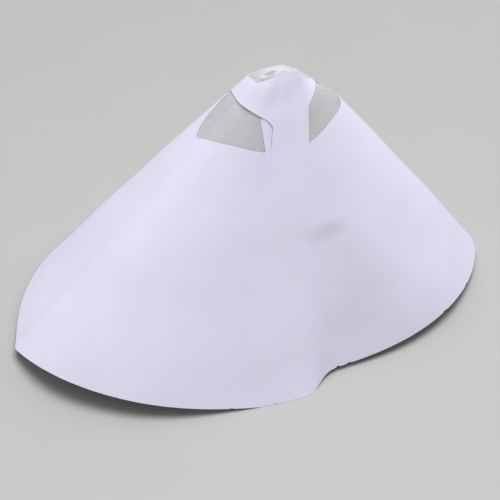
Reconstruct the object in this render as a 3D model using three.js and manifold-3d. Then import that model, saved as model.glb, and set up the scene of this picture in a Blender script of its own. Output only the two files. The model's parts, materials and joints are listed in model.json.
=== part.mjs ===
// A disposable cone strainer for paint: a die-cut paper blank rolled into a cone and glued along one seam,
// with a fine nylon mesh glued inside its tip. It stands mouth down, with the tip up, and it folds flat.
// Millimetres, +Z up. The long axis of the mouth lies along X, and the glued seam faces -Y.
import * as THREE from 'three';
import { mergeVertices } from 'three/addons/utils/BufferGeometryUtils.js';
import Module from 'manifold-3d';

const wasm = await Module();
wasm.setup();

const degrees = THREE.MathUtils.radToDeg;
const radians = THREE.MathUtils.degToRad;

// ---- The open mouth, as seen from above: two elliptical arcs that meet at the left and right folds ----
const mouthCentre = new THREE.Vector2(-1.56, -3.02);
const mouthHalfLength = 96.7;
const frontArc = { bulge: 56.2, roundness: 3.4, lean: 0.105 };
const backArc = { bulge: 62.4, roundness: 24, lean: -0.21 };
const apex = new THREE.Vector3(13.54, -4.82, 132.7);

// ---- The blank: slants are distances from the apex, and blank angles run round it from the left fold ----
const panelSlant = 145;          // from the apex to the middle of a panel's lower edge
const edgeRadius = 286;          // radius of the die-cut lower edge of each panel
const seamStepDrop = 10.7;       // the edge steps up by this much to the right of the seam
const seamStepAngle = 1.8;       // where it steps, from the middle of the front
const seamStepSoftness = 1.1;    // how gently it steps, in degrees
const backEdgeExtra = 8.5;       // the back edge reaches this much further down, on its left half
const frontBulge = 5.3;          // the front stands out by this much at its left foot
const bulgeEdgeRise = 0.4;       // the lower edge is lifted by this share of the bulge
const rightSwell = { height: 1, angle: 92.5, width: 24, length: 158 };
const leftSwell = { height: 0.8, angle: -21, width: 16, length: 124 };
const seamAngle = -3;            // the middle of the glued seam, from the middle of the front
const seamHalfWidth = 8.4;
const frontHingeAngle = 9;       // the front panel bends here as the cone folds flat
const collarSlant = 14;          // the paper starts here, below the mesh tip
const windowTopSlant = 29;
const windowBottomSlant = 43;
const windowHalfAngle = 21.5;
const windowCorner = 4;
const meshTopSlant = 9;
const hemBottomSlant = 50;

// ---- Thickness, and the lift of each layer from the outer skin of the cone ----
const paperThickness = 0.3;
const outerPlyLift = -0.05;
const innerPlyLift = -0.65;
const seamGlueLift = -0.45;
const meshGlueLift = -1.1;
const meshLift = -1.3;
const filmThickness = 0.1;
const meshThickness = 0.15;
const ringGap = 0.3;             // half of the gap between the tip and the folding panels
const hingeGap = 0.4;            // half of the gap at the front and back bends
const leftFoldGap = 1.8;         // half of the slot at the left fold, which the fold strip fills
const foldStripHalfWidth = 1.25;
const rightFoldGap = 2.5;        // half of the gap at the right fold
const hemFoldMargin = 4;

// The ray's table has this many steps in each panel.
const raySteps = 600;

function mouthPoint(front, share) {
  const arc = front ? frontArc : backArc;
  const first = radians(arc.roundness);
  const angle = first + (Math.PI - 2 * first) * share;
  const along = -mouthHalfLength * Math.cos(angle) / Math.cos(first);
  const swell = arc.bulge * (Math.sin(angle) - Math.sin(first)) / (1 - Math.sin(first));
  const shift = arc.lean * mouthHalfLength * (1 - (along / mouthHalfLength) ** 2);
  const x = front ? along + shift : -along + shift;
  return new THREE.Vector3(mouthCentre.x + x, mouthCentre.y + (front ? -swell : swell), 0);
}

// Rays from the apex to the mouth, each with its blank angle in degrees from the left fold.
function rayTable() {
  const table = [];
  let angle = 0;
  for (const front of [true, false]) {
    for (let step = 0; step <= raySteps; step += 1) {
      const ray = mouthPoint(front, step / raySteps).sub(apex).normalize();
      const last = table[table.length - 1];
      if (last) angle += degrees(last.ray.angleTo(ray));
      if (!last || step > 0) table.push({ angle, ray });
    }
  }
  return table;
}

const table = rayTable();
const rightFold = table[raySteps].angle;
const fullTurn = table[table.length - 1].angle;
const frontMiddle = rightFold / 2;
const backMiddle = (rightFold + fullTurn) / 2;
const seam = frontMiddle + seamAngle;
const frontHinge = frontMiddle + frontHingeAngle;
const backHinge = fullTurn - frontHinge;
const windowCentres = [62.7, 127.9, fullTurn + 11.2];

function ray(blankAngle) {
  const angle = ((blankAngle % fullTurn) + fullTurn) % fullTurn;
  let low = 0;
  let high = table.length - 1;
  while (high - low > 1) {
    const middle = Math.floor((low + high) / 2);
    if (table[middle].angle <= angle) low = middle;
    else high = middle;
  }
  const share = (angle - table[low].angle) / (table[high].angle - table[low].angle);
  return table[low].ray.clone().lerp(table[high].ray, share).normalize();
}

// The outward normal of the cone. At a fold it is the average of the two sides.
function normal(blankAngle) {
  const reach = 0.3;
  return ray(blankAngle - reach).cross(ray(blankAngle + reach)).normalize();
}

// How far a point stands off the ideal cone: the front bulges on its left, and both sides swell a little
// between the tip and the mouth.
function swelling(blankAngle, slant) {
  const fromFold = blankAngle - fullTurn * Math.floor(blankAngle / fullTurn);
  const fromMiddle = (fromFold > backMiddle ? fromFold - fullTurn : fromFold) - frontMiddle;
  const rise = THREE.MathUtils.smoothstep(fromMiddle, -48.5, -35.5);
  const fall = THREE.MathUtils.smoothstep(-fromMiddle, 3, 28);
  let height = frontBulge * rise * fall * slant / panelSlant;
  for (const swell of [rightSwell, leftSwell]) {
    const turns = (blankAngle - swell.angle) / fullTurn;
    const away = fullTurn * (turns - Math.round(turns));
    const share = Math.min(slant / swell.length, 1.4);
    height += swell.height * Math.exp(-((away / swell.width) ** 2)) * Math.sin(Math.PI * share);
  }
  return height;
}

// The slant of the lower edge. Where the edge would pass through the floor, it is cut level with it.
function rim(blankAngle, lift) {
  const angle = ((blankAngle % fullTurn) + fullTurn) % fullTurn;
  const front = angle <= rightFold;
  const half = (front ? rightFold : fullTurn - rightFold) / 2;
  const fromMiddle = angle - (front ? frontMiddle : backMiddle);
  const centre = panelSlant - edgeRadius;
  const turn = radians(fromMiddle);
  const arc = centre * Math.cos(turn) + Math.sqrt(edgeRadius ** 2 - (centre * Math.sin(turn)) ** 2);
  const share = fromMiddle / half;
  const step = 1 / (1 + Math.exp((seamStepAngle - fromMiddle) / seamStepSoftness));
  const frontEdge = arc - seamStepDrop * step;
  const backReach = backEdgeExtra * (1 - share ** 2) * (1 + 1.5 * share);
  const backEdge = arc - seamStepDrop * (1 - share) / 2 + backReach;
  const dieCut = front ? frontEdge : backEdge;
  const swell = swelling(angle, dieCut);
  const edge = dieCut - bulgeEdgeRise * swell;
  const floor = (apex.z + (lift + swell) * normal(angle).z) / -ray(angle).z;
  return Math.min(edge, floor);
}

// Lines on the blank: an angle turned by a length across the slant, and a line beside a ray.
const beside = (angle, offset) => (slant) => angle + degrees(Math.asin(offset / slant));

// The paper winds inwards by two plies from the outer end of the blank to the inner end.
const blankStart = seam;
const blankEnd = seam + fullTurn;
const paperTop = (angle) => THREE.MathUtils.mapLinear(angle, blankStart, blankEnd, innerPlyLift, outerPlyLift);
const paperUnder = (angle) => paperTop(angle) - paperThickness;

// Builds a closed solid from two grids of points, an outer and an inner one. A ring joins its last column
// to its first, and a capped ring closes over its first row.
function closedShell(outer, inner, ring, capped) {
  const positions = [];
  const put = (a, b, c) => [a, b, c].forEach((p) => positions.push(p.x, p.y, p.z));
  const rows = outer.length - 1;
  const columns = outer[0].length - 1;
  const last = ring ? columns + 1 : columns;
  const at = ([grid, row, column]) => grid[row][column % (columns + 1)];
  const quad = (...corners) => {
    const [a, b, c, d] = corners.map(at);
    put(a, b, c);
    put(a, c, d);
  };
  for (let column = 0; column < last; column += 1) {
    const next = column + 1;
    for (let row = 0; row < rows; row += 1) {
      const below = row + 1;
      quad([outer, row, column], [outer, below, column], [outer, below, next], [outer, row, next]);
      quad([inner, row, column], [inner, row, next], [inner, below, next], [inner, below, column]);
    }
    quad([outer, rows, column], [inner, rows, column], [inner, rows, next], [outer, rows, next]);
    if (!capped) quad([outer, 0, next], [inner, 0, next], [inner, 0, column], [outer, 0, column]);
  }
  for (const [grid, flip] of capped ? [[outer, false], [inner, true]] : []) {
    const centre = grid[0].reduce((sum, p) => sum.add(p), new THREE.Vector3()).divideScalar(grid[0].length);
    for (let column = 0; column < last; column += 1) {
      const pair = [at([grid, 0, column]), at([grid, 0, column + 1])];
      if (flip) pair.reverse();
      put(pair[0], pair[1], centre);
    }
  }
  for (let row = 0; row < rows && !ring; row += 1) {
    const below = row + 1;
    quad([outer, below, 0], [outer, row, 0], [inner, row, 0], [inner, below, 0]);
    quad([outer, row, columns], [outer, below, columns], [inner, below, columns], [inner, row, columns]);
  }
  const geometry = new THREE.BufferGeometry();
  geometry.setAttribute('position', new THREE.Float32BufferAttribute(positions, 3));
  return mergeVertices(geometry, 1e-4);
}

// A patch of the cone between side lines on the blank, from one slant to another, and between two lifts.
// lines are angles, or functions from a slant to an angle, and columns says how many steps lie between them.
function conePatch({ lines, columns, rows = 1, from, to, under, over, ring = false, capped = false }) {
  const angleAt = (line, slant) => (typeof line === 'function' ? line(slant) : line);
  const valueAt = (value, angle, lift) => (typeof value === 'function' ? value(angle, lift) : value);
  const places = [];
  columns.forEach((count, part) => {
    for (let step = 0; step < count; step += 1) places.push({ part, share: step / count });
  });
  if (!ring) places.push({ part: columns.length - 1, share: 1 });
  const grid = (level) => Array.from({ length: rows + 1 }, (_, row) => places.map(({ part, share }) => {
    let slant = panelSlant;
    let angle = 0;
    let lift = 0;
    for (let pass = 0; pass < 8; pass += 1) {
      angle = THREE.MathUtils.lerp(angleAt(lines[part], slant), angleAt(lines[part + 1], slant), share);
      lift = valueAt(level, angle);
      slant = THREE.MathUtils.lerp(valueAt(from, angle, lift), valueAt(to, angle, lift), row / rows);
    }
    const height = lift + swelling(angle, slant);
    return apex.clone().addScaledVector(ray(angle), slant).addScaledVector(normal(angle), height);
  }));
  return closedShell(grid(over), grid(under), ring, capped);
}

function asManifold(geometry) {
  const mesh = { numProp: 3, vertProperties: geometry.attributes.position.array };
  return new wasm.Manifold(new wasm.Mesh({ ...mesh, triVerts: new Uint32Array(geometry.index.array) }));
}

function asGeometry(solid) {
  const mesh = solid.getMesh();
  const geometry = new THREE.BufferGeometry();
  geometry.setAttribute('position', new THREE.BufferAttribute(new Float32Array(mesh.vertProperties), 3));
  geometry.setIndex(new THREE.BufferAttribute(new Uint32Array(mesh.triVerts), 1));
  return geometry;
}

// ---- Pieces of the tip ----

// The paper collar and the struts between the windows, cut from the top of the blank.
function tipCollar() {
  let solid = asManifold(conePatch({
    lines: [beside(seam, -seamHalfWidth), rightFold, fullTurn, beside(seam + fullTurn, seamHalfWidth)],
    columns: [28, 36, 22],
    rows: 9,
    from: collarSlant,
    to: windowBottomSlant - ringGap,
    under: paperUnder,
    over: paperTop,
  }));
  const cutterLifts = [[-1.4, -0.42], [-1.4, 1], [-0.6, 1]];
  windowCentres.forEach((centre, index) => {
    const first = centre - windowHalfAngle;
    const last = centre + windowHalfAngle;
    const middle = index === 2 ? fullTurn : centre;
    const middleSlant = (windowTopSlant + windowBottomSlant) / 2;
    const top = (angle) => {
      const inset = radians(Math.min(angle - first, last - angle)) * middleSlant;
      const rise = Math.max(windowCorner - inset, 0);
      return windowTopSlant + windowCorner - Math.sqrt(windowCorner ** 2 - rise ** 2);
    };
    const [under, over] = cutterLifts[index];
    const cutter = { lines: [first, middle, last], columns: [16, 24], from: top, to: windowBottomSlant + 5 };
    solid = solid.subtract(asManifold(conePatch({ ...cutter, under, over })));
  });
  return asGeometry(solid);
}

function meshCone() {
  return conePatch({
    lines: [0, rightFold, fullTurn],
    columns: [36, 36],
    from: meshTopSlant,
    to: windowBottomSlant - ringGap,
    under: meshLift - meshThickness,
    over: meshLift,
    ring: true,
    capped: true,
  });
}

function tipSeamGlue() {
  const half = seamHalfWidth - 1.5;
  return conePatch({
    lines: [beside(seam, -half), beside(seam, half)],
    columns: [12],
    rows: 2,
    from: collarSlant + 2,
    to: windowTopSlant - 1,
    under: seamGlueLift - filmThickness,
    over: seamGlueLift,
  });
}

function collarGlue() {
  return conePatch({
    lines: [0, rightFold, fullTurn],
    columns: [36, 36],
    from: collarSlant + 3,
    to: windowTopSlant - 3,
    under: meshGlueLift - filmThickness,
    over: meshGlueLift,
    ring: true,
  });
}

function foldStrip() {
  return conePatch({
    lines: [beside(fullTurn, -foldStripHalfWidth), fullTurn, beside(fullTurn, foldStripHalfWidth)],
    columns: [2, 2],
    rows: 6,
    from: windowBottomSlant + ringGap,
    to: (angle) => rim(angle, 0) - 0.5,
    under: paperUnder,
    over: paperTop,
  });
}

// ---- Pieces of the folding panels ----

function panel(first, last, columns) {
  return conePatch({
    lines: [first, last],
    columns: [columns],
    rows: 6,
    from: windowBottomSlant + ringGap,
    to: rim,
    under: paperUnder,
    over: paperTop,
  });
}

function seamGlue() {
  const half = seamHalfWidth - 1.5;
  return conePatch({
    lines: [beside(seam, -half), beside(seam, half)],
    columns: [6],
    rows: 6,
    from: windowBottomSlant + 3,
    to: (angle) => rim(angle, 0) - 4,
    under: seamGlueLift - filmThickness,
    over: seamGlueLift,
  });
}

function hem(first, last, lift, thickness, inset) {
  return conePatch({
    lines: [first, last],
    columns: [14],
    from: windowBottomSlant + ringGap + inset,
    to: hemBottomSlant - inset,
    under: lift - thickness,
    over: lift,
  });
}

// ---- Materials ----
const paper = (tint) => new THREE.MeshStandardMaterial({ color: tint, roughness: 0.85, metalness: 0 });
const whitePaper = paper(0xe2e0f2);
const innerPaper = paper(0xdcdaec);
const nylon = new THREE.MeshStandardMaterial({ color: 0xcfd2d6, roughness: 0.5, metalness: 0 });
const adhesive = new THREE.MeshStandardMaterial({ color: 0xe8e2cc, roughness: 0.4, metalness: 0 });

// ---- Assembly: the tip, then four panels that hang from it and fold about lines through the apex ----
const strainer = new THREE.Group();

function add(parent, name, geometry, material) {
  const mesh = new THREE.Mesh(geometry, material);
  mesh.name = name;
  parent.add(mesh);
}

const tip = new THREE.Group();
strainer.add(tip);
add(tip, 'tip_collar', tipCollar(), whitePaper);
add(tip, 'tip_seam_glue', tipSeamGlue(), adhesive);
add(tip, 'mesh_cone', meshCone(), nylon);
add(tip, 'collar_glue', collarGlue(), adhesive);
add(tip, 'left_fold', foldStrip(), whitePaper);

const leftEdge = beside(fullTurn, leftFoldGap);
const panels = [
  {
    name: 'front_left',
    paper: panel(leftEdge, beside(seam + fullTurn, seamHalfWidth), 26),
    hem: [beside(0, hemFoldMargin), beside(frontHinge, -hingeGap)],
  },
  {
    name: 'front_right',
    paper: panel(beside(frontHinge, hingeGap), beside(rightFold, -rightFoldGap), 18),
    hem: [beside(frontHinge, hingeGap), beside(rightFold, -hemFoldMargin)],
  },
  {
    name: 'back_right',
    paper: panel(beside(rightFold, rightFoldGap), beside(backHinge, -hingeGap), 18),
    hem: [beside(rightFold, hemFoldMargin), beside(backHinge, -hingeGap)],
  },
  {
    name: 'back_left',
    paper: panel(beside(backHinge, hingeGap), beside(fullTurn, -leftFoldGap), 26),
    hem: [beside(backHinge, hingeGap), beside(fullTurn, -hemFoldMargin)],
  },
];

for (const { name, paper: sheet, hem: [first, last] } of panels) {
  const group = new THREE.Group();
  strainer.add(group);
  add(group, `${name}_panel`, sheet, whitePaper);
  add(group, `${name}_mesh_hem`, hem(first, last, meshLift, meshThickness, 0), nylon);
  add(group, `${name}_hem_glue`, hem(first, last, meshGlueLift, filmThickness, 1), adhesive);
  if (name === 'front_left') {
    const flapEnd = beside(frontHinge, -hingeGap);
    add(group, 'seam_flap', panel(beside(seam, -seamHalfWidth), flapEnd, 8), innerPaper);
    add(group, 'seam_glue', seamGlue(), adhesive);
  }
}

export default strainer;
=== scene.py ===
"""A disposable paper cone strainer, standing mouth down on a pale floor.

The paper is one die-cut blank. Its outline and windows are drawn flat, in blank coordinates: an angle in
degrees round the tip from the left fold, and a slant in metres from the tip. The flat blank is meshed and
wound into the cone. It is split only at the left and right folds, into a front and a back. The nylon mesh
and the ring of glue under it are made in the same coordinates.
"""
import json
import math

import bpy
import numpy as np
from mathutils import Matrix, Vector
from mathutils.geometry import delaunay_2d_cdt
from mathutils.kdtree import KDTree


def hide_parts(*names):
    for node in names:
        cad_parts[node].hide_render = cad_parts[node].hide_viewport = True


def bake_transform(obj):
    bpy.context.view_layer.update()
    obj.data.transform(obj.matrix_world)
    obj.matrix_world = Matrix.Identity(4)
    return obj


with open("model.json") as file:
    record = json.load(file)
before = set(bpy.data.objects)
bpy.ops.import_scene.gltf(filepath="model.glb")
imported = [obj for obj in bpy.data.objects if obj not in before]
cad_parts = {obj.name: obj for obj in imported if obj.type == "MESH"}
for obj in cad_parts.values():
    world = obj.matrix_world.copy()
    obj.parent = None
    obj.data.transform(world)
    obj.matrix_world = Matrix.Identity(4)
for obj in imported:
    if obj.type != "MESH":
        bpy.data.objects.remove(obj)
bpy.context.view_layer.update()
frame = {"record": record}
MM = 0.001

# ---- The open mouth and the tip, as in the CAD model ----
MOUTH_CENTRE = np.array((-1.56, -3.02, 0.0)) * MM
MOUTH_HALF_LENGTH = 96.7 * MM
FRONT_ARC = {"bulge": 56.2 * MM, "roundness": 3.4, "lean": 0.105, "side": -1}
BACK_ARC = {"bulge": 62.4 * MM, "roundness": 24.0, "lean": -0.21, "side": 1}
APEX = np.array((13.54, -4.82, 132.7)) * MM
RAY_STEPS = 600

# ---- The wound paper ----
PAPER = 0.22 * MM
OUTER_LIFT = -0.05 * MM  # the paper's outer face off the ideal cone, at its outer end
INNER_LIFT = -0.31 * MM  # the same face one turn on, at its inner end
PANEL_SLANT = 145 * MM  # from the tip to the middle of the lower edge
SEAM_FROM_MIDDLE = -3.0
OUTER_END_REACH = 8.2 * MM  # how far each end of the blank reaches past the seam's middle
INNER_END_REACH = 8.4 * MM
OUTER_END_SLANTS = (27.5, 143)
INNER_END_SLANTS = (141, 16)
INNER_END_FLARE = 0.13  # the inner end widens above this slant, up to a greatest angle
INNER_END_FLARE_SLANT = 41.7 * MM
INNER_END_WIDEST = 18.4
# The torn top of the outer end, and the outer end's edge below it, stand proud: heights in mm
TORN_HEIGHT, TORN_START, TORN_WIDTH = 0.45, 3, 11
TORN_SLANT, TORN_LENGTH = 20 * MM, 8 * MM
STRUT_HEIGHT, STRUT_MIDDLE, STRUT_WIDTH = 0.3, -13, 7
STRUT_SLANT, STRUT_LENGTH = 35 * MM, 9 * MM
PLIES_START, PLIES_END, PLIES_WIDTH = -42, 2, 16  # where the front has two plies, with their margin

# ---- The lower edge on the flat blank ----
EDGE_RADIUS = 286 * MM
STEP_DROP = 10.4 * MM  # the edge steps up by this, right of the seam
STEP_MIDDLE = 1.8
STEP_SOFTNESS = 1.1
BACK_EDGE_EXTRA = 8.5 * MM
BACK_EDGE_LEAN = 1.5
EDGE_PER_SHOVE_OUT = 0.4  # how far the edge draws up where the paper stands out
EDGE_PER_SHOVE_IN = 0.52  # and how far it comes down where the paper is pushed in

# ---- The front's bulge on its left, and the buckle right of the seam ----
BULGE = 5.3 * MM
BULGE_LEFT_END, BULGE_LEFT_WIDTH = -48.5, 13
BULGE_RIGHT_END, BULGE_RIGHT_WIDTH = -3, 25
BUCKLE_DEPTH = 8.5 * MM
BUCKLE_TOP = 72 * MM
BUCKLE_ONSET = 0.06
BUCKLE_FURTHEST = 1.2
BUCKLE_SIDE_TOP, BUCKLE_SIDE_BOTTOM = 4.6, 2.2
BUCKLE_SOFT_TOP, BUCKLE_SOFT_BOTTOM = 2.4, 1.0
BUCKLE_WIDTH_TOP, BUCKLE_WIDENING = 14, 20
BUCKLE_FADE_START = -2.2

# Swellings of the walls: height, blank angle of the middle, width in degrees, length along the slant
SWELLS = ((1.0 * MM, 92.5, 24, 158 * MM), (0.8 * MM, -21, 16, 124 * MM))

# ---- Small marks of handling ----
LIP_DEPTH, LIP_MIDDLE, LIP_WIDTH = 0.9 * MM, 8.5, 5.5
LIP_TOP, LIP_RISE = 73 * MM, 9 * MM
LIP_FADE, LIP_FADE_TOP, LIP_FADE_LENGTH = 0.9, 82 * MM, 40 * MM
WAVE_HEIGHT = 0.15 * MM
# Waves of the walls: share, phase per degree, phase at the middle, radians of phase along the slant
WAVES = ((1.0, 7.3, 40, 18), (0.6, 13.1, 0, -11))
CRUMPLE_HEIGHT = 0.25 * MM
CRUMPLE_FROM, CRUMPLE_FADE = 18 * MM, 22 * MM
CRUMPLE_ROUND, CRUMPLE_ALONG = (11, 7), (31, 21)
PINCH_DEPTH, PINCH_WIDTH = 3.3 * MM, 14
PINCH_SLANT, PINCH_LENGTH = 19 * MM, 9 * MM

# ---- How finely the blank is drawn and meshed ----
END_POINTS, RIM_POINTS = 60, 900
TOP_SPACING, TOP_ROUGHNESS = 0.35 * MM, 0.045 * MM
RIM_ROUGHNESS = 0.03 * MM
WINDOW_SPACING = 0.5 * MM
FOLD_SLANTS = (8, 170)
GRID_START, GRID_END, GRID_TURN = 12 * MM, 165 * MM, 240
FINE_END, FINE_PITCH, COARSE_PITCH = 52 * MM, 0.9, 1.9
ROW_HEIGHT = 0.87
CLEARANCE = 0.35 * MM

# ---- The mesh and the glue ----
MESH_HEM = 58 * MM
MESH_GAP = 0.08 * MM
MESH_COLUMNS, MESH_ROWS, GATHERED_ROWS = 90, 60, 16
MESH_TOP_FRONT, MESH_TOP_EXTRA = 12.4, 8.6  # in mm from the tip: at the front, and more at the back
MESH_TOP_RIGHT, MESH_TOP_LEFT, MESH_TOP_WIDTH = 12, 25, 35
GATHER_POINT = APEX + np.array((-1.2, -0.6, -9.7)) * MM
GATHER_START, GATHER_POWER = 0.06, 1.15
GATHER_SLANT = 9 * MM  # the length of cloth that the gathered tip takes up
CROWN_HEIGHT, FOLD_HEIGHT, VALLEY_DEPTH = 0.9, 0.28, 2.2
FOLD_ROUND, FOLD_TWIST = 11, 2.5
VALLEY_MIDDLE, VALLEY_WIDTH = -35, 8
VALLEY_CLOSING, VALLEY_LENGTH = 0.22, 0.2
THREAD_PITCH = 0.3 * MM
GLUE_THICKNESS = 0.05 * MM
GLUE_GAP = 0.015 * MM
GLUE_SLANTS = (55, 57.5)
GLUE_INSET = 2

# ---- Colours, light and camera ----
PAPER_DARK = (0.765, 0.75, 0.905)
PAPER_LIGHT = (0.80, 0.785, 0.95)
# The paper's inner face: the same paper, painted darker and warmer as shade for the inside of the cone.
INSIDE_PAINTED_SHADE_DARK = (0.50, 0.46, 0.47)
INSIDE_PAINTED_SHADE_LIGHT = (0.56, 0.52, 0.53)
MESH_DARK = (0.69, 0.695, 0.72)
MESH_LIGHT = (0.77, 0.775, 0.805)
GLUE_DARK = (0.62, 0.6, 0.52)
GLUE_LIGHT = (0.8, 0.78, 0.7)
# The floor's two colours; its far side leans to the darker one as painted shade.
FLOOR_DARK = (0.411, 0.409, 0.401)
FLOOR_LIGHT = (0.47, 0.47, 0.465)
SKY_STRENGTH = 0.47
OVERHEAD_POWER = 23.5
CAMERA_DISTANCE = 945.2 * MM
CAMERA_ELEVATION = 46.0
CAMERA_HEADING = (-0.352, -0.936)
AIM = Vector((13.54, -4.82, 60.0)) * MM
FOCAL_IN_FRAMES = 5.006
AIM_OFF_CENTRE = (-0.013344, -0.0262485)
SENSOR_WIDTH = 36


# ---- The cone ----
def mouth_points(arc, share):
    """Points of one arc of the mouth, for shares from 0 at its first fold to 1 at its last."""
    first = math.radians(arc["roundness"])
    angle = first + (math.pi - 2 * first) * share
    along = -MOUTH_HALF_LENGTH * np.cos(angle) / math.cos(first)
    swell = arc["bulge"] * (np.sin(angle) - math.sin(first)) / (1 - math.sin(first))
    shift = arc["lean"] * MOUTH_HALF_LENGTH * (1 - (along / MOUTH_HALF_LENGTH) ** 2)
    side = arc["side"]
    points = np.stack([-side * along + shift, side * swell, 0 * share], axis=-1)
    return MOUTH_CENTRE + points


def unit(vectors):
    return vectors / np.linalg.norm(vectors, axis=-1, keepdims=True)


def ray_table():
    """Rays from the apex to the mouth, each with its blank angle."""
    share = np.linspace(0, 1, RAY_STEPS + 1)
    rim = np.concatenate([mouth_points(FRONT_ARC, share), mouth_points(BACK_ARC, share[1:])])
    rays = unit(rim - APEX)
    turns = np.degrees(np.arcsin(np.linalg.norm(np.cross(rays[:-1], rays[1:]), axis=1)))
    return np.concatenate([[0], np.cumsum(turns)]), rays


ANGLES, RAYS = ray_table()
RIGHT_FOLD = ANGLES[RAY_STEPS]
FULL_TURN = ANGLES[-1]
FRONT_MIDDLE = RIGHT_FOLD / 2
BACK_MIDDLE = (RIGHT_FOLD + FULL_TURN) / 2
SEAM = FRONT_MIDDLE + SEAM_FROM_MIDDLE


def ray(angle):
    turned = np.mod(angle, FULL_TURN)
    return unit(np.stack([np.interp(turned, ANGLES, RAYS[:, k]) for k in range(3)], axis=-1))


def outward(angle, reach=0.5):
    return unit(np.cross(ray(angle - reach), ray(angle + reach)))


def bell(value, width):
    return np.exp(-((value / width) ** 2))


def ease(value):
    share = np.clip(value, 0, 1)
    return share * share * (3 - 2 * share)


def step_up(value, height=1):
    """A soft step from 0 to a height, halfway up at a value of 0."""
    return height / (1 + np.exp(-value))


def blend(start, end, share):
    return start + (end - start) * share


def from_front_middle(angle):
    """Degrees right of the front's middle. The back counts on from both folds, to its own middle."""
    turned = np.mod(angle, FULL_TURN)
    return np.where(turned > BACK_MIDDLE, turned - FULL_TURN, turned) - FRONT_MIDDLE


def shove(angle, slant):
    """How far the walls stand off the ideal cone, outwards. The front bulges on its left. Right of the
    seam the paper is pushed in below a buckle, so that the edge steps inwards along the floor."""
    s = from_front_middle(angle)
    from_left = ease((s - BULGE_LEFT_END) / BULGE_LEFT_WIDTH)
    from_right = ease((BULGE_RIGHT_END - s) / BULGE_RIGHT_WIDTH)
    bulge = BULGE * from_left * from_right * slant / PANEL_SLANT
    down = np.clip((slant - BUCKLE_TOP) / (PANEL_SLANT - BUCKLE_TOP), 0, BUCKLE_FURTHEST)
    depth = BUCKLE_DEPTH * down**2 / (down + BUCKLE_ONSET)
    side = blend(BUCKLE_SIDE_TOP, BUCKLE_SIDE_BOTTOM, down)
    softness = blend(BUCKLE_SOFT_TOP, BUCKLE_SOFT_BOTTOM, np.clip(down, 0, 1))
    inwards = step_up((s - side) / softness)
    fading = 1 - ease((s - side - BUCKLE_FADE_START) / (BUCKLE_WIDTH_TOP + BUCKLE_WIDENING * down))
    swell = 0
    for height, middle, width, length in SWELLS:
        turns = (angle - middle) / FULL_TURN
        away = FULL_TURN * (turns - np.round(turns))
        swell = swell + height * bell(away, width) * np.sin(math.pi * (slant / length))
    return bulge - depth * inwards * fading + swell


def sag(angle, slant):
    """The shove with small marks of handling: the buckle's lip, gentle waves of the walls, a crumple near
    the tip, and a pinch where the collar crosses the right fold."""
    s = from_front_middle(angle)
    turned = np.mod(angle, FULL_TURN)
    down = slant / PANEL_SLANT
    lip = -LIP_DEPTH * bell(s - LIP_MIDDLE, LIP_WIDTH) * ease((slant - LIP_TOP) / LIP_RISE)
    lip = lip * (1 - LIP_FADE * ease((slant - LIP_FADE_TOP) / LIP_FADE_LENGTH))
    waves = WAVE_HEIGHT * down * sum(
        share * np.sin(np.radians(round_it * s + start) + along * down)
        for share, round_it, start, along in WAVES
    )
    near_tip = 1 - ease((slant - CRUMPLE_FROM) / CRUMPLE_FADE)
    crumple = CRUMPLE_HEIGHT * near_tip * (
        np.sin(np.radians(CRUMPLE_ROUND[0] * turned) + CRUMPLE_ALONG[0] * down)
        * np.cos(np.radians(CRUMPLE_ROUND[1] * turned) - CRUMPLE_ALONG[1] * down)
    )
    pinch = -PINCH_DEPTH * bell(turned - RIGHT_FOLD, PINCH_WIDTH) * bell(slant - PINCH_SLANT, PINCH_LENGTH)
    return shove(angle, slant) + lip + waves + crumple + pinch


def place(angle, slant, lift):
    """A point of the blank, wound into the cone, lifted from its outer skin."""
    off = (lift + sag(angle, slant))[..., None]
    return APEX + ray(angle) * slant[..., None] + outward(angle) * off


def paper_lift(angle, slant):
    """The paper winds inwards by one ply from its outer end to its inner end. The torn top of its outer
    end, and the outer end's edge below it, stand a little proud."""
    share = (angle - SEAM) / FULL_TURN
    s = angle - FULL_TURN - FRONT_MIDDLE
    torn = ease((s - TORN_START) / TORN_WIDTH) * (1 - ease((slant - TORN_SLANT) / TORN_LENGTH))
    strut_edge = bell(s - STRUT_MIDDLE, STRUT_WIDTH) * bell(slant - STRUT_SLANT, STRUT_LENGTH)
    return blend(INNER_LIFT, OUTER_LIFT, share) + (TORN_HEIGHT * torn + STRUT_HEIGHT * strut_edge) * MM


def under_paper(angle, gap):
    """A lift just inside the paper's inner face, and inside both plies where they overlap at the seam."""
    wound = np.mod(angle - SEAM, FULL_TURN) / FULL_TURN
    single = blend(INNER_LIFT, OUTER_LIFT, wound)
    s = from_front_middle(angle)
    both = ease((s - PLIES_START) / PLIES_WIDTH) * (1 - ease((s - PLIES_END) / PLIES_WIDTH))
    return blend(single, np.minimum(single, INNER_LIFT), both) - PAPER - gap


def rim_slant(angle):
    """The slant of the lower edge, cut level where it would pass through the floor."""
    turned = np.mod(angle, FULL_TURN)
    front = turned <= RIGHT_FOLD
    half = np.where(front, RIGHT_FOLD, FULL_TURN - RIGHT_FOLD) / 2
    s = turned - np.where(front, FRONT_MIDDLE, BACK_MIDDLE)
    centre = PANEL_SLANT - EDGE_RADIUS
    turn = np.radians(s)
    arc = centre * np.cos(turn) + np.sqrt(EDGE_RADIUS**2 - (centre * np.sin(turn)) ** 2)
    share = s / half
    front_edge = arc - step_up((s - STEP_MIDDLE) / STEP_SOFTNESS, STEP_DROP)
    back_edge = arc - STEP_DROP * (1 - share) / 2
    back_edge = back_edge + BACK_EDGE_EXTRA * (1 - share**2) * (1 + BACK_EDGE_LEAN * share)
    edge = np.where(front, front_edge, back_edge)
    moved = shove(angle, edge)
    edge = edge - np.where(moved > 0, EDGE_PER_SHOVE_OUT, EDGE_PER_SHOVE_IN) * moved
    steepness = outward(angle)[..., 2]
    floor = (APEX[2] + (OUTER_LIFT - PAPER + sag(angle, edge)) * steepness) / -ray(angle)[..., 2]
    return np.minimum(edge, floor)


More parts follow.
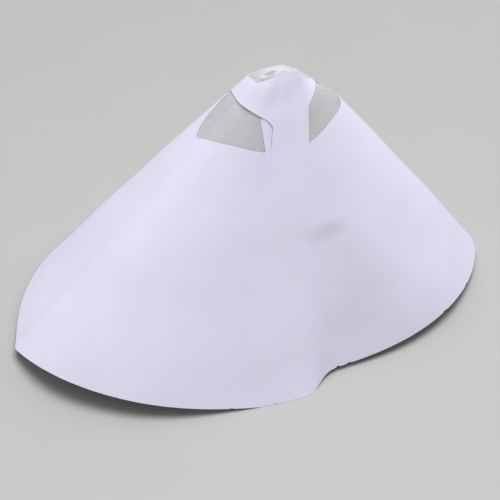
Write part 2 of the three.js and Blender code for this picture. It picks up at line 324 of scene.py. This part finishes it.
# ---- Drawing on the flat blank ----
def flat(angle, slant):
    turn = np.radians(angle)
    return np.stack([slant * np.cos(turn), slant * np.sin(turn)], axis=-1)


def unflat(points):
    """Blank angle and slant of points on the flat blank."""
    angle = np.degrees(np.arctan2(points[:, 1], points[:, 0]))
    return np.where(angle < -60, angle + 360, angle), np.linalg.norm(points, axis=1)


def resample(points, spacing, closed):
    """The same polyline with points every `spacing` along it."""
    if closed:
        points = np.concatenate([points, points[:1]])
    lengths = np.concatenate([[0], np.cumsum(np.linalg.norm(np.diff(points, axis=0), axis=1))])
    count = max(2, int(round(lengths[-1] / spacing)))
    at = np.linspace(0, lengths[-1], count + 1)
    found = np.stack([np.interp(at, lengths, points[:, k]) for k in (0, 1)], axis=-1)
    return found[:-1] if closed else found


def rounded(corners, closed=True, steps=8):
    """An outline through (angle, slant in mm, corner radius in mm), with its corners rounded."""
    points = np.array([flat(angle, slant * MM) for angle, slant, _ in corners])
    radii = [radius * MM for _, _, radius in corners]
    found = []
    count = len(points)
    for index, (corner, radius) in enumerate(zip(points, radii)):
        if not closed and index in (0, count - 1):
            found.append(corner)
            continue
        before = points[index - 1] - corner
        after = points[(index + 1) % count] - corner
        reach = min(radius, 0.45 * np.linalg.norm(before), 0.45 * np.linalg.norm(after))
        start = corner + unit(before) * reach
        end = corner + unit(after) * reach
        for t in np.linspace(0, 1, steps):
            found.append((1 - t) ** 2 * start + 2 * t * (1 - t) * corner + t**2 * end)
    return np.array(found)


def front_outer(s):
    """Blank angle on the outer ply of the front, from degrees right of the front's middle."""
    return FULL_TURN + FRONT_MIDDLE + s


def front_inner(s):
    """Blank angle on the inner ply of the front, and on the single ply right of the seam."""
    return FRONT_MIDDLE + s


def back(s):
    """Blank angle on the back, from degrees left of its middle, as seen from the front."""
    return BACK_MIDDLE + s


WINDOWS = [
    # The window across the left fold
    rounded([
        (front_outer(-11.9), 42.2, 5), (front_outer(-20), 42.3, 8), (front_outer(-31), 43.2, 10),
        (front_outer(-44.7), 49.6, 8), (back(39.6), 53.6, 2.5), (back(33.5), 48.5, 8), (back(30.5), 42.5, 8),
        (back(21), 39.5, 2), (back(22), 36, 1.5), (back(33), 31.2, 6), (front_outer(-38), 28.6, 8),
        (front_outer(-24), 28.9, 8), (front_outer(-16), 30.0, 3), (front_outer(-12.6), 32.2, 3),
    ]),
    # The window right of the seam, which runs over the right fold
    rounded([
        (front_inner(4), 42, 3), (front_inner(12), 40.6, 2), (front_inner(27), 38.4, 8),
        (front_inner(37.5), 40.0, 4), (front_inner(43), 41.4, 3), (front_inner(48), 37.5, 3),
        (front_inner(50.5), 31, 4), (front_inner(50), 26.6, 2), (front_inner(43), 25.2, 3),
        (front_inner(31.5), 23.3, 2), (front_inner(14.6), 27.0, 1), (front_inner(4), 29.5, 3),
    ]),
    # The window in the back
    rounded([
        (back(-26), 43, 5), (back(0), 41.5, 20), (back(13), 43, 5), (back(12), 31, 5), (back(-25), 29, 5),
    ]),
]

COLLAR_TOP = [
    (front_inner(-21.4), 13.4, 0), (front_inner(0), 12.0, 3), (front_inner(10), 12.2, 3),
    (front_inner(22.8), 14.0, 1), (front_inner(33), 18.9, 2), (front_inner(43.5), 23.8, 2),
    (back(-36), 23.4, 3), (back(-20), 23.0, 3), (back(0), 23.2, 3), (back(16), 24.2, 2),
    (back(25), 24.2, 0.3), (back(31.4), 21.7, 1), (front_outer(-38.4), 18.6, 0.6),
    (front_outer(-25.3), 14.2, 0.8), (front_outer(-19.7), 11.5, 0.6), (front_outer(-4), 11.4, 0.4),
    (front_outer(-3.2), 12.4, 0.4), (front_outer(2.1), 13.9, 0.5), (front_outer(13.4), 15.8, 0.8),
    (front_outer(15.6), 18.3, 0.6), (front_outer(14.4), 20.6, 0.6), (front_outer(14.5), 23.1, 0.6),
    (front_outer(15.3), 26.4, 0.5),
]

# Nicks in the lower edge: blank angle, depth in mm, width in degrees
RIM_NICKS = [
    (front_outer(-12.3), 0.35, 0.25), (front_outer(-5.7), 0.7, 0.2), (front_inner(5.9), 0.7, 0.25),
    (front_inner(8.0), 0.45, 0.25), (front_inner(26.9), 0.5, 0.3), (front_inner(33.6), 0.35, 0.4),
]


def blank_outline():
    """The edge of the blank: the collar's top, the outer end, the lower edge, and the inner end."""
    draws = np.random.default_rng(11)
    top = rounded(COLLAR_TOP, closed=False, steps=5)
    top = resample(top, TOP_SPACING, closed=False)
    top[1:-1] += draws.normal(0, TOP_ROUGHNESS, (len(top) - 2, 2))

    slants = np.linspace(*OUTER_END_SLANTS, END_POINTS) * MM
    outer_end = flat(SEAM + FULL_TURN + np.degrees(np.arcsin(OUTER_END_REACH / slants)), slants)

    first = SEAM - np.degrees(np.arcsin(INNER_END_REACH / PANEL_SLANT))
    last = SEAM + FULL_TURN + np.degrees(np.arcsin(OUTER_END_REACH / PANEL_SLANT))
    angles = np.linspace(last, first, RIM_POINTS)
    slants = rim_slant(angles)
    for angle, depth, width in RIM_NICKS:
        slants = slants - depth * MM * bell(angles - angle, width)
    slants = slants - np.abs(draws.normal(0, RIM_ROUGHNESS, len(angles)))
    rim = flat(angles, slants)

    slants = np.linspace(*INNER_END_SLANTS, END_POINTS) * MM
    reach = INNER_END_REACH + INNER_END_FLARE * np.maximum(0, INNER_END_FLARE_SLANT - slants)
    turn = np.minimum(np.degrees(np.arcsin(reach / slants)), INNER_END_WIDEST)
    above_rim = slants < rim_slant(np.array([first]))[0] - 1 * MM
    inner_end = flat(SEAM - turn, slants)[above_rim]
    return np.concatenate([top, outer_end, rim, inner_end])


def inside(points, loop):
    """Which points lie inside a closed outline."""
    found = np.zeros(len(points), bool)
    x, y = points[:, 0], points[:, 1]
    for a, b in zip(loop, np.roll(loop, -1, axis=0)):
        crosses = (a[1] > y) != (b[1] > y)
        if not crosses.any():
            continue
        at = a[0] + (y - a[1]) * (b[0] - a[0]) / (b[1] - a[1])
        found ^= crosses & (x < at)
    return found


def near(points, others, reach):
    """Which points lie within reach of any of the others."""
    tree = KDTree(len(others))
    for index, point in enumerate(others):
        tree.insert((point[0], point[1], 0), index)
    tree.balance()
    return np.array([tree.find((p[0], p[1], 0))[2] < reach for p in points])


def grid_points():
    """Rows of staggered points over the flat blank, finer round the tip."""
    grid = []
    slant = GRID_START
    row = 0
    while slant < GRID_END:
        pitch = (FINE_PITCH if slant < FINE_END else COARSE_PITCH) * MM
        turn = math.degrees(pitch / slant)
        angles = np.arange(0, GRID_TURN, turn) + (row % 2) * turn / 2
        grid.append(flat(angles, np.full(len(angles), slant)))
        slant += pitch * ROW_HEIGHT
        row += 1
    return np.concatenate(grid)


def meshed_blank():
    """Points and triangles of the flat blank, with edges along the two folds."""
    outline = blank_outline()
    windows = [resample(window, WINDOW_SPACING, closed=True) for window in WINDOWS]
    points = []
    edges = []
    for loop in [outline] + windows:
        start, count = len(points), len(loop)
        points += list(loop)
        edges += [(start + i, start + (i + 1) % count) for i in range(count)]
    for angle in (RIGHT_FOLD, FULL_TURN):
        slants = np.arange(*FOLD_SLANTS, 1.0) * MM
        start = len(points)
        points += list(flat(np.full(len(slants), angle), slants))
        edges += [(start + i, start + i + 1) for i in range(len(slants) - 1)]

    def on_paper(spots):
        keep = inside(spots, outline)
        for window in windows:
            keep &= ~inside(spots, window)
        return keep

    grid = grid_points()
    grid = grid[on_paper(grid)]
    points += list(grid[~near(grid, points, CLEARANCE)])
    in_mm = [Vector((p[0] * 1000.0, p[1] * 1000.0)) for p in points]
    result = delaunay_2d_cdt(in_mm, edges, [], 0, 1e-5)
    found = np.array([(v.x, v.y) for v in result[0]]) / 1000.0
    triangles = np.array([t for t in result[2] if len(t) == 3])
    return found, triangles[on_paper(found[triangles].mean(axis=1))]


# ---- Making the pieces ----
def link(name, mesh):
    obj = bpy.data.objects.new(name, mesh)
    bpy.context.scene.collection.objects.link(obj)
    return obj


def finish_mesh(mesh, uv, *materials):
    """Gives a mesh its place on the flat blank, smooth shading and its materials."""
    layer = mesh.uv_layers.new(name="blank")
    layer.data.foreach_set("uv", uv.astype(np.float32).ravel())
    mesh.polygons.foreach_set("use_smooth", [True] * len(mesh.polygons))
    for material in materials:
        mesh.materials.append(material)


def surface_normals(angle, slant):
    """Outward normals of the handled cone, from small steps along and round it."""
    turn, length = 0.25, 0.5 * MM
    zero = np.zeros_like(angle)
    round_it = place(angle + turn, slant, zero) - place(angle - turn, slant, zero)
    along = place(angle, slant + length, zero) - place(angle, slant - length, zero)
    return unit(np.cross(along, round_it))


def sheet_object(name, points, part_triangles, lift, thickness, *materials):
    """A sheet of the given thickness from parts of the flat blank, each a list of triangles. A second
    material, a darker and warmer copy of the paper that paints shade, covers its inner face."""
    verts, faces, uvs, normals, slots = [], [], [], [], []
    base = 0
    for triangles in part_triangles:
        used, triangles = np.unique(triangles, return_inverse=True)
        triangles = triangles.reshape(-1, 3)
        spots = points[used]
        angle, slant = unflat(spots)
        lifts = lift(angle, slant)
        top = place(angle, slant, lifts)
        under = place(angle, slant, lifts - thickness)
        normal = surface_normals(angle, slant)
        count = len(spots)
        a, b, c = (top[triangles[:, k]] for k in range(3))
        facing = np.einsum("ij,ij->i", np.cross(b - a, c - a), normal[triangles[:, 0]]).sum() > 0
        upper = triangles if facing else triangles[:, ::-1]
        lower = upper[:, ::-1]
        verts += [top, under]
        faces += [upper + base, lower + base + count]
        uvs += [spots[upper].reshape(-1, 2), spots[lower].reshape(-1, 2)]
        normals += [normal[upper].reshape(-1, 3), -normal[lower].reshape(-1, 3)]
        edges = np.concatenate([upper[:, [0, 1]], upper[:, [1, 2]], upper[:, [2, 0]]])
        keys = {tuple(e) for e in edges}
        rim = np.array([e for e in keys if (e[1], e[0]) not in keys])
        first, last = rim[:, 0], rim[:, 1]
        walls = np.stack([last, first, first + count, last + count], axis=1)
        faces.append(walls + base)
        slots += [np.zeros(len(upper)), np.ones(len(lower)), np.zeros(len(walls))]
        uvs.append(spots[np.stack([last, first, first, last], axis=1)].reshape(-1, 2))
        wall_normal = unit(np.cross(top[last] - top[first], normal[first]))
        normals.append(np.repeat(wall_normal, 4, axis=0))
        base += 2 * count
    mesh = bpy.data.meshes.new(name)
    mesh.from_pydata(np.concatenate(verts).tolist(), [], [f for group in faces for f in group.tolist()])
    finish_mesh(mesh, np.concatenate(uvs), *materials)
    mesh.normals_split_custom_set(np.concatenate(normals).tolist())
    if len(materials) > 1:
        mesh.polygons.foreach_set("material_index", np.concatenate(slots).astype(np.int32))
    return link(name, mesh)


def grid_cells(columns, rows):
    """The four corners of each cell of a grid of points, in order round it."""
    corner = (np.arange(rows - 1)[:, None] * columns + np.arange(columns - 1)).ravel()
    return np.stack([corner, corner + 1, corner + columns + 1, corner + columns], axis=1)


def cloth(name, first, last):
    """Half of the nylon mesh: a single layer from the hem up to its crumpled, gathered tip. Shares from 0
    to 1 climb the wall, and shares from 1 to 2 close the tip."""
    angles = np.linspace(first, last, MESH_COLUMNS)
    shares = np.concatenate([np.linspace(0, 1, MESH_ROWS), 1 + np.linspace(GATHER_START, 1, GATHERED_ROWS)])
    grid_angle, grid_share = np.meshgrid(angles, shares)
    angle, share = grid_angle.ravel(), grid_share.ravel()
    s = from_front_middle(angle)
    back_share = ease((np.abs(s) - np.where(s > 0, MESH_TOP_RIGHT, MESH_TOP_LEFT)) / MESH_TOP_WIDTH)
    top = (MESH_TOP_FRONT + MESH_TOP_EXTRA * back_share) * MM
    slant = blend(MESH_HEM, top, np.minimum(share, 1))
    verts = place(angle, slant, under_paper(angle, MESH_GAP))
    closing = np.clip(share - 1, 0, 1)
    pull = closing[:, None] ** GATHER_POWER
    verts = verts * (1 - pull) + GATHER_POINT * pull
    folds = np.sin(np.radians(FOLD_ROUND * angle) + FOLD_TWIST * closing) * np.sin(closing * math.pi)
    valley = bell(s - VALLEY_MIDDLE, VALLEY_WIDTH) * bell(closing - VALLEY_CLOSING, VALLEY_LENGTH)
    crown = np.sin(closing * math.pi) * (1 - closing)
    verts[:, 2] += (CROWN_HEIGHT * crown + FOLD_HEIGHT * folds - VALLEY_DEPTH * valley) * MM
    quads = grid_cells(len(angles), len(shares))
    mesh = bpy.data.meshes.new(name)
    mesh.from_pydata(verts.tolist(), [], quads.tolist())
    finish_mesh(mesh, flat(angle, slant - GATHER_SLANT * closing)[quads.ravel()], nylon)
    return link(name, mesh)


def glue_lift(angle, slant):
    return under_paper(angle, GLUE_GAP)


def glue_ring(name, first, last):
    """Half of the ring of glue that holds the mesh's hem to the paper."""
    angles = np.linspace(first + GLUE_INSET, last - GLUE_INSET, 60)
    slants = np.linspace(*GLUE_SLANTS, 3) * MM
    grid_angle, grid_slant = np.meshgrid(angles, slants)
    points = flat(grid_angle.ravel(), grid_slant.ravel())
    cells = grid_cells(len(angles), len(slants))
    triangles = np.concatenate([cells[:, [0, 1, 2]], cells[:, [0, 2, 3]]])
    return sheet_object(name, points, [triangles], glue_lift, GLUE_THICKNESS, glue)


# ---- Materials ----
def new_material(name):
    material = bpy.data.materials.new(name)
    material.use_nodes = True
    nodes = material.node_tree.nodes
    return material, nodes, material.node_tree.links, nodes["Principled BSDF"]


def blank_place(nodes):
    """A point's place on the flat blank."""
    node = nodes.new("ShaderNodeUVMap")
    node.uv_map = "blank"
    return node.outputs["UV"]


def noise(nodes, links, coordinates, scale, detail=3.0, roughness=0.6):
    node = nodes.new("ShaderNodeTexNoise")
    node.inputs["Scale"].default_value = scale
    node.inputs["Detail"].default_value = detail
    node.inputs["Roughness"].default_value = roughness
    links.new(coordinates, node.inputs["Vector"])
    return node.outputs["Fac"]


def maths(nodes, links, operation, first, second=0):
    node = nodes.new("ShaderNodeMath")
    node.operation = operation
    for socket, value in zip(node.inputs, (first, second)):
        if isinstance(value, (int, float)):
            socket.default_value = value
        else:
            links.new(value, socket)
    return node.outputs[0]


def weighed(nodes, links, first, first_share, second, second_share):
    """The sum of two values, each with its share."""
    first = maths(nodes, links, "MULTIPLY", first, first_share)
    second = maths(nodes, links, "MULTIPLY", second, second_share)
    return maths(nodes, links, "ADD", first, second)


def mixed(nodes, links, factor, first, second):
    node = nodes.new("ShaderNodeMix")
    node.data_type = "RGBA"
    node.inputs["A"].default_value = (*first, 1)
    node.inputs["B"].default_value = (*second, 1)
    links.new(factor, node.inputs["Factor"])
    return node.outputs["Result"]


def spread(nodes, links, value, low, high, to_low=0.0, to_high=1.0):
    node = nodes.new("ShaderNodeMapRange")
    sockets = ("From Min", "From Max", "To Min", "To Max")
    for socket, number in zip(sockets, (low, high, to_low, to_high)):
        node.inputs[socket].default_value = number
    links.new(value, node.inputs["Value"])
    return node.outputs["Result"]


def bumped(nodes, links, shader, height, distance, strength):
    node = nodes.new("ShaderNodeBump")
    node.inputs["Strength"].default_value = strength
    node.inputs["Distance"].default_value = distance
    links.new(height, node.inputs["Height"])
    links.new(node.outputs["Normal"], shader.inputs["Normal"])


def paper_material(name, dark, light):
    material, nodes, links, shader = new_material(name)
    blank = blank_place(nodes)
    stretch = nodes.new("ShaderNodeMapping")
    stretch.inputs["Scale"].default_value = (1.0, 0.35, 1.0)
    links.new(blank, stretch.inputs["Vector"])
    cloud = noise(nodes, links, blank, 70, 4)
    fibre = noise(nodes, links, stretch.outputs["Vector"], 1600, 4, 0.7)
    grain = noise(nodes, links, blank, 3500, 2)
    shade = weighed(nodes, links, cloud, 0.6, fibre, 0.4)
    colour = mixed(nodes, links, spread(nodes, links, shade, 0.35, 0.65), dark, light)
    links.new(colour, shader.inputs["Base Color"])
    links.new(spread(nodes, links, fibre, 0.3, 0.7, 0.7, 0.92), shader.inputs["Roughness"])
    height = maths(nodes, links, "ADD", fibre, maths(nodes, links, "MULTIPLY", grain, 0.5))
    bumped(nodes, links, shader, height, 0.03 * MM, 0.5)
    shader.inputs["Specular IOR Level"].default_value = 0.3
    return material


def mesh_material():
    """Two crossed sets of threads, with clear gaps between them."""
    material, nodes, links, shader = new_material("nylon_mesh")
    blank = blank_place(nodes)
    split = nodes.new("ShaderNodeSeparateXYZ")
    links.new(blank, split.inputs["Vector"])
    threads = []
    for axis in ("X", "Y"):
        wave = maths(nodes, links, "MULTIPLY", split.outputs[axis], math.pi / THREAD_PITCH)
        wave = maths(nodes, links, "SINE", wave)
        threads.append(maths(nodes, links, "ABSOLUTE", wave))
    crest = maths(nodes, links, "MAXIMUM", *threads)
    links.new(spread(nodes, links, crest, 0.62, 0.76), shader.inputs["Alpha"])
    tint = noise(nodes, links, blank, 400, 2)
    links.new(mixed(nodes, links, tint, MESH_DARK, MESH_LIGHT), shader.inputs["Base Color"])
    bumped(nodes, links, shader, crest, 0.04 * MM, 0.6)
    shader.inputs["Roughness"].default_value = 0.45
    return material


def glue_material():
    material, nodes, links, shader = new_material("clear_glue")
    blobs = noise(nodes, links, blank_place(nodes), 500, 3)
    links.new(mixed(nodes, links, blobs, GLUE_DARK, GLUE_LIGHT), shader.inputs["Base Color"])
    links.new(spread(nodes, links, blobs, 0.3, 0.7, 0.45, 0.85), shader.inputs["Alpha"])
    links.new(spread(nodes, links, blobs, 0.3, 0.7, 0.15, 0.4), shader.inputs["Roughness"])
    bumped(nodes, links, shader, blobs, 0.05 * MM, 0.5)
    return material


def floor_material():
    """A pale board, with painted shade that makes it a little darker towards the far side."""
    material, nodes, links, shader = new_material("pale_floor")
    place_on = nodes.new("ShaderNodeTexCoord").outputs["Object"]
    cloud = noise(nodes, links, place_on, 30, 3)
    speck = noise(nodes, links, place_on, 900, 2)
    shade = weighed(nodes, links, cloud, 0.25, speck, 0.25)
    split = nodes.new("ShaderNodeSeparateXYZ")
    links.new(place_on, split.inputs["Vector"])
    # Painted shade: the board's colour darkens towards the far side, where less light falls.
    far = spread(nodes, links, split.outputs["Y"], -0.25, 0.3, 0.8, -0.355)
    shade = maths(nodes, links, "ADD", shade, far)
    links.new(mixed(nodes, links, shade, FLOOR_DARK, FLOOR_LIGHT), shader.inputs["Base Color"])
    shader.inputs["Roughness"].default_value = 0.9
    shader.inputs["Specular IOR Level"].default_value = 0.2
    return material


white_paper = paper_material("white_paper", PAPER_DARK, PAPER_LIGHT)
# Painted shade: the inner face is a darker, warmer copy of the white paper.
paper_inside_painted_shade = paper_material("paper_inside_painted_shade", INSIDE_PAINTED_SHADE_DARK, INSIDE_PAINTED_SHADE_LIGHT)
nylon = mesh_material()
glue = glue_material()

# ---- The pieces. The front's paper holds both plies of the seam. ----
points, triangles = meshed_blank()
middle_angle, _ = unflat(points[triangles].mean(axis=1))
inner_front = triangles[middle_angle < RIGHT_FOLD]
outer_front = triangles[middle_angle > FULL_TURN]
whole_back = triangles[(middle_angle > RIGHT_FOLD) & (middle_angle < FULL_TURN)]
front_paper = sheet_object(
    "front_paper", points, [inner_front, outer_front], paper_lift, PAPER, white_paper, paper_inside_painted_shade
)
back_paper = sheet_object(
    "back_paper", points, [whole_back], paper_lift, PAPER, white_paper, paper_inside_painted_shade
)
front_mesh = cloth("front_mesh", 0, RIGHT_FOLD)
back_mesh = cloth("back_mesh", RIGHT_FOLD, FULL_TURN)
front_glue = glue_ring("front_glue", 0, RIGHT_FOLD)
back_glue = glue_ring("back_glue", RIGHT_FOLD, FULL_TURN)

# ---- Joints: each piece is baked in place, and the CAD parts are hidden ----
joints = {joint["name"]: joint for joint in frame["record"]["behaviour"]["joints"]}


def bend(piece, joint_name, forward):
    """Reads a joint's line and the direction across it, then only bakes the piece's transform; the piece is
    not bent.
    """
    joint = joints[joint_name]
    axis = Vector(joint["axis"]).normalized()
    across = axis.cross(Vector((0, forward, 0))).normalized()
    if across.x < 0:
        across = -across
    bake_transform(piece)


for piece in (front_paper, front_mesh, front_glue):
    bend(piece, "front_bend", -1)
for piece in (back_paper, back_mesh, back_glue):
    bend(piece, "back_bend", 1)

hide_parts("tip_collar", "left_fold", "front_left_panel", "seam_flap", "front_right_panel")
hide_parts("back_right_panel", "back_left_panel")
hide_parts("mesh_cone", "front_left_mesh_hem", "front_right_mesh_hem")
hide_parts("back_right_mesh_hem", "back_left_mesh_hem")
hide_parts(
    "tip_seam_glue", "collar_glue", "seam_glue", "front_left_hem_glue", "front_right_hem_glue"
)
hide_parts("back_right_hem_glue", "back_left_hem_glue")

# ---- Floor, light and camera ----
bpy.ops.mesh.primitive_plane_add(size=8)
floor = bpy.context.object
floor.name = "floor"
floor.data.materials.append(floor_material())

world = bpy.data.worlds.new("studio")
bpy.context.scene.world = world
world.use_nodes = True
world.node_tree.nodes["Background"].inputs["Color"].default_value = (1, 1, 1, 1)
world.node_tree.nodes["Background"].inputs["Strength"].default_value = SKY_STRENGTH


def area_light(name, position, target, size, power):
    data = bpy.data.lights.new(name, "AREA")
    data.shape = "RECTANGLE"
    data.size, data.size_y = size
    data.energy = power
    light = bpy.data.objects.new(name, data)
    bpy.context.scene.collection.objects.link(light)
    light.location = position
    light.rotation_mode = "QUATERNION"
    light.rotation_quaternion = (Vector(target) - Vector(position)).to_track_quat("-Z", "Y")


area_light("overhead_light", (0.12, 0.0, 1.6), (0, 0, 0.03), (0.9, 0.9), OVERHEAD_POWER)

rise = math.radians(CAMERA_ELEVATION)
towards = Vector((*CAMERA_HEADING, 0)).normalized() * math.cos(rise) + Vector((0, 0, math.sin(rise)))
right = Vector((0, 0, 1)).cross(towards).normalized()
up = towards.cross(right).normalized()
look = -towards + right * AIM_OFF_CENTRE[0] + up * AIM_OFF_CENTRE[1]

camera_data = bpy.data.cameras.new("camera")
camera_data.sensor_width = SENSOR_WIDTH
camera_data.lens = SENSOR_WIDTH * FOCAL_IN_FRAMES
camera_data.clip_start, camera_data.clip_end = 0.01, 20
camera = bpy.data.objects.new("camera", camera_data)
bpy.context.scene.collection.objects.link(camera)
camera.location = AIM + towards * CAMERA_DISTANCE
camera.rotation_mode = "QUATERNION"
camera.rotation_quaternion = look.to_track_quat("-Z", "Y")
bpy.context.scene.camera = camera
bpy.context.scene.view_settings.view_transform = "Standard"
